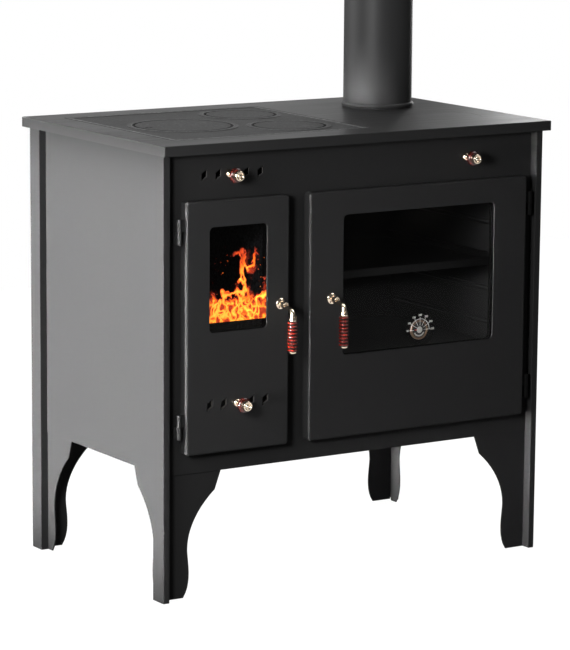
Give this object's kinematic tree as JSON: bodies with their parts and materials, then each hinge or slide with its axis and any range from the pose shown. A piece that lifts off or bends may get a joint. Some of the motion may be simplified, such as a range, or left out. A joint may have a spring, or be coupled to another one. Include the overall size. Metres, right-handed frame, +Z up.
{
  "type": "wood cookstove",
  "caption": "Anthracite sheet-steel wood cookstove on cut-out legs, with a cast hotplate, firebox door, glazed oven door, air slides and a flue pipe.",
  "frame": {"origin": "centre of the footprint on the floor", "axes": "+X to the right along the front, +Y from the front to the back, +Z up"},
  "size_m": [0.864, 0.5888, 1.1],
  "materials": {
    "casing_paint": "matt anthracite stove paint",
    "hob_paint": "satin anthracite heat-proof paint",
    "cast_iron": "blackened, fine cast grain",
    "pipe_paint": "matt anthracite pipe paint",
    "nickel": "polished nickel plate",
    "red_brown": "glossy red-brown, heat-proof",
    "door_glass": "dark clear glass-ceramic",
    "rope": "braided glass-fibre rope",
    "inner_steel": "plain mill steel",
    "oven_enamel": "dark oven enamel",
    "copper": "polished copper-coloured ring",
    "pointer_red": "red lacquer",
    "dial_white": "white dial",
    "dial_marks": "grey print on the glass",
    "glass_print": null
  },
  "bodies": {
    "casing": {"post_front_left": "casing_paint", "post_rear_left": "casing_paint", "post_front_right": "casing_paint", "post_rear_right": "casing_paint", "side_panel_left": "casing_paint", "side_panel_right": "casing_paint", "back_panel": "casing_paint", "front_frame": "casing_paint", "base_tray": "inner_steel", "hob_top": "hob_paint", "hotplate": "cast_iron", "flue_pipe": "pipe_paint", "firebox_shell": "inner_steel", "grate": "cast_iron", "fireplate_left": "cast_iron", "fireplate_right": "cast_iron", "fireplate_back": "cast_iron", "ash_pan": "inner_steel", "ash_pan_lip": "inner_steel", "oven_box": "oven_enamel", "oven_tray": "oven_enamel", "flue_box": "inner_steel", "fire_door_hinge_upper_pin": "casing_paint", "fire_door_hinge_lower_pin": "casing_paint", "oven_door_hinge_upper_pin": "casing_paint", "oven_door_hinge_lower_pin": "casing_paint"},
    "firebox_door": {"fire_door": "casing_paint", "fire_door_liner": "inner_steel", "fire_door_glass": "door_glass", "fire_door_rope": "rope", "fire_door_hinge_upper_knuckle": "casing_paint", "fire_door_hinge_lower_knuckle": "casing_paint"},
    "oven_door_leaf": {"oven_door": "casing_paint", "oven_door_liner": "inner_steel", "oven_door_glass": "door_glass", "oven_door_rope": "rope", "oven_door_hinge_upper_knuckle": "casing_paint", "oven_door_hinge_lower_knuckle": "casing_paint", "thermometer_case": "copper"},
    "firebox_latch": {"fire_door_handle": "nickel", "fire_door_grip": "red_brown", "fire_door_latch": "inner_steel"},
    "oven_latch": {"oven_door_handle": "nickel", "oven_door_grip": "red_brown", "oven_door_latch": "inner_steel"},
    "upper_air_slide": {"upper_air_plate": "inner_steel", "upper_air_knob": "nickel", "upper_air_knob_ring": "red_brown"},
    "lower_air_slide": {"lower_air_plate": "inner_steel", "lower_air_knob": "nickel", "lower_air_knob_ring": "red_brown"},
    "flue_damper": {"damper_plate": "inner_steel", "damper_knob": "nickel", "damper_knob_ring": "red_brown"},
    "large_lid": {"lid_large": "cast_iron"},
    "rear_lid": {"lid_rear": "cast_iron"},
    "right_lid": {"lid_right": "cast_iron"},
    "sweep_lid": {"cleaning_lid": "hob_paint"},
    "pointer": {"thermometer_pointer": "pointer_red"}
  },
  "joints": [
    {"name": "firebox_door_swing", "type": "hinge", "parent": "casing", "child": "firebox_door", "pos_m": [-0.39, -0.2346, 0.509], "axis": [0, 0, -1], "range_deg": [0, 105]},
    {"name": "oven_door_swing", "type": "hinge", "parent": "casing", "child": "oven_door_leaf", "pos_m": [0.397, -0.2346, 0.509], "axis": [0, 0, 1], "range_deg": [0, 105]},
    {"name": "firebox_handle_turn", "type": "hinge", "parent": "firebox_door", "child": "firebox_latch", "pos_m": [-0.177, -0.2416, 0.5419], "axis": [0, 1, 0], "range_deg": [0, 90]},
    {"name": "oven_handle_turn", "type": "hinge", "parent": "oven_door_leaf", "child": "oven_latch", "pos_m": [-0.064, -0.2416, 0.5419], "axis": [0, -1, 0], "range_deg": [0, 90]},
    {"name": "upper_air_slide_move", "type": "slide", "parent": "casing", "child": "upper_air_slide", "axis": [1, 0, 0], "range_m": [0, 0.015]},
    {"name": "lower_air_slide_move", "type": "slide", "parent": "firebox_door", "child": "lower_air_slide", "axis": [1, 0, 0], "range_m": [0, 0.015]},
    {"name": "damper_pull", "type": "slide", "parent": "casing", "child": "flue_damper", "axis": [0, -1, 0], "range_m": [0, 0.06]},
    {"name": "large_lid_lift", "type": "slide", "parent": "casing", "child": "large_lid", "axis": [0, 0, 1], "range_m": [0, 0.06]},
    {"name": "rear_lid_lift", "type": "slide", "parent": "casing", "child": "rear_lid", "axis": [0, 0, 1], "range_m": [0, 0.06]},
    {"name": "right_lid_lift", "type": "slide", "parent": "casing", "child": "right_lid", "axis": [0, 0, 1], "range_m": [0, 0.06]},
    {"name": "cleaning_lid_lift", "type": "slide", "parent": "casing", "child": "sweep_lid", "axis": [0, 0, 1], "range_m": [0, 0.06]},
    {"name": "pointer_turn", "type": "hinge", "parent": "oven_door_leaf", "child": "pointer", "pos_m": [0.1355, -0.243, 0.465], "axis": [0, 1, 0], "range_deg": [0, 180]}
  ]
}
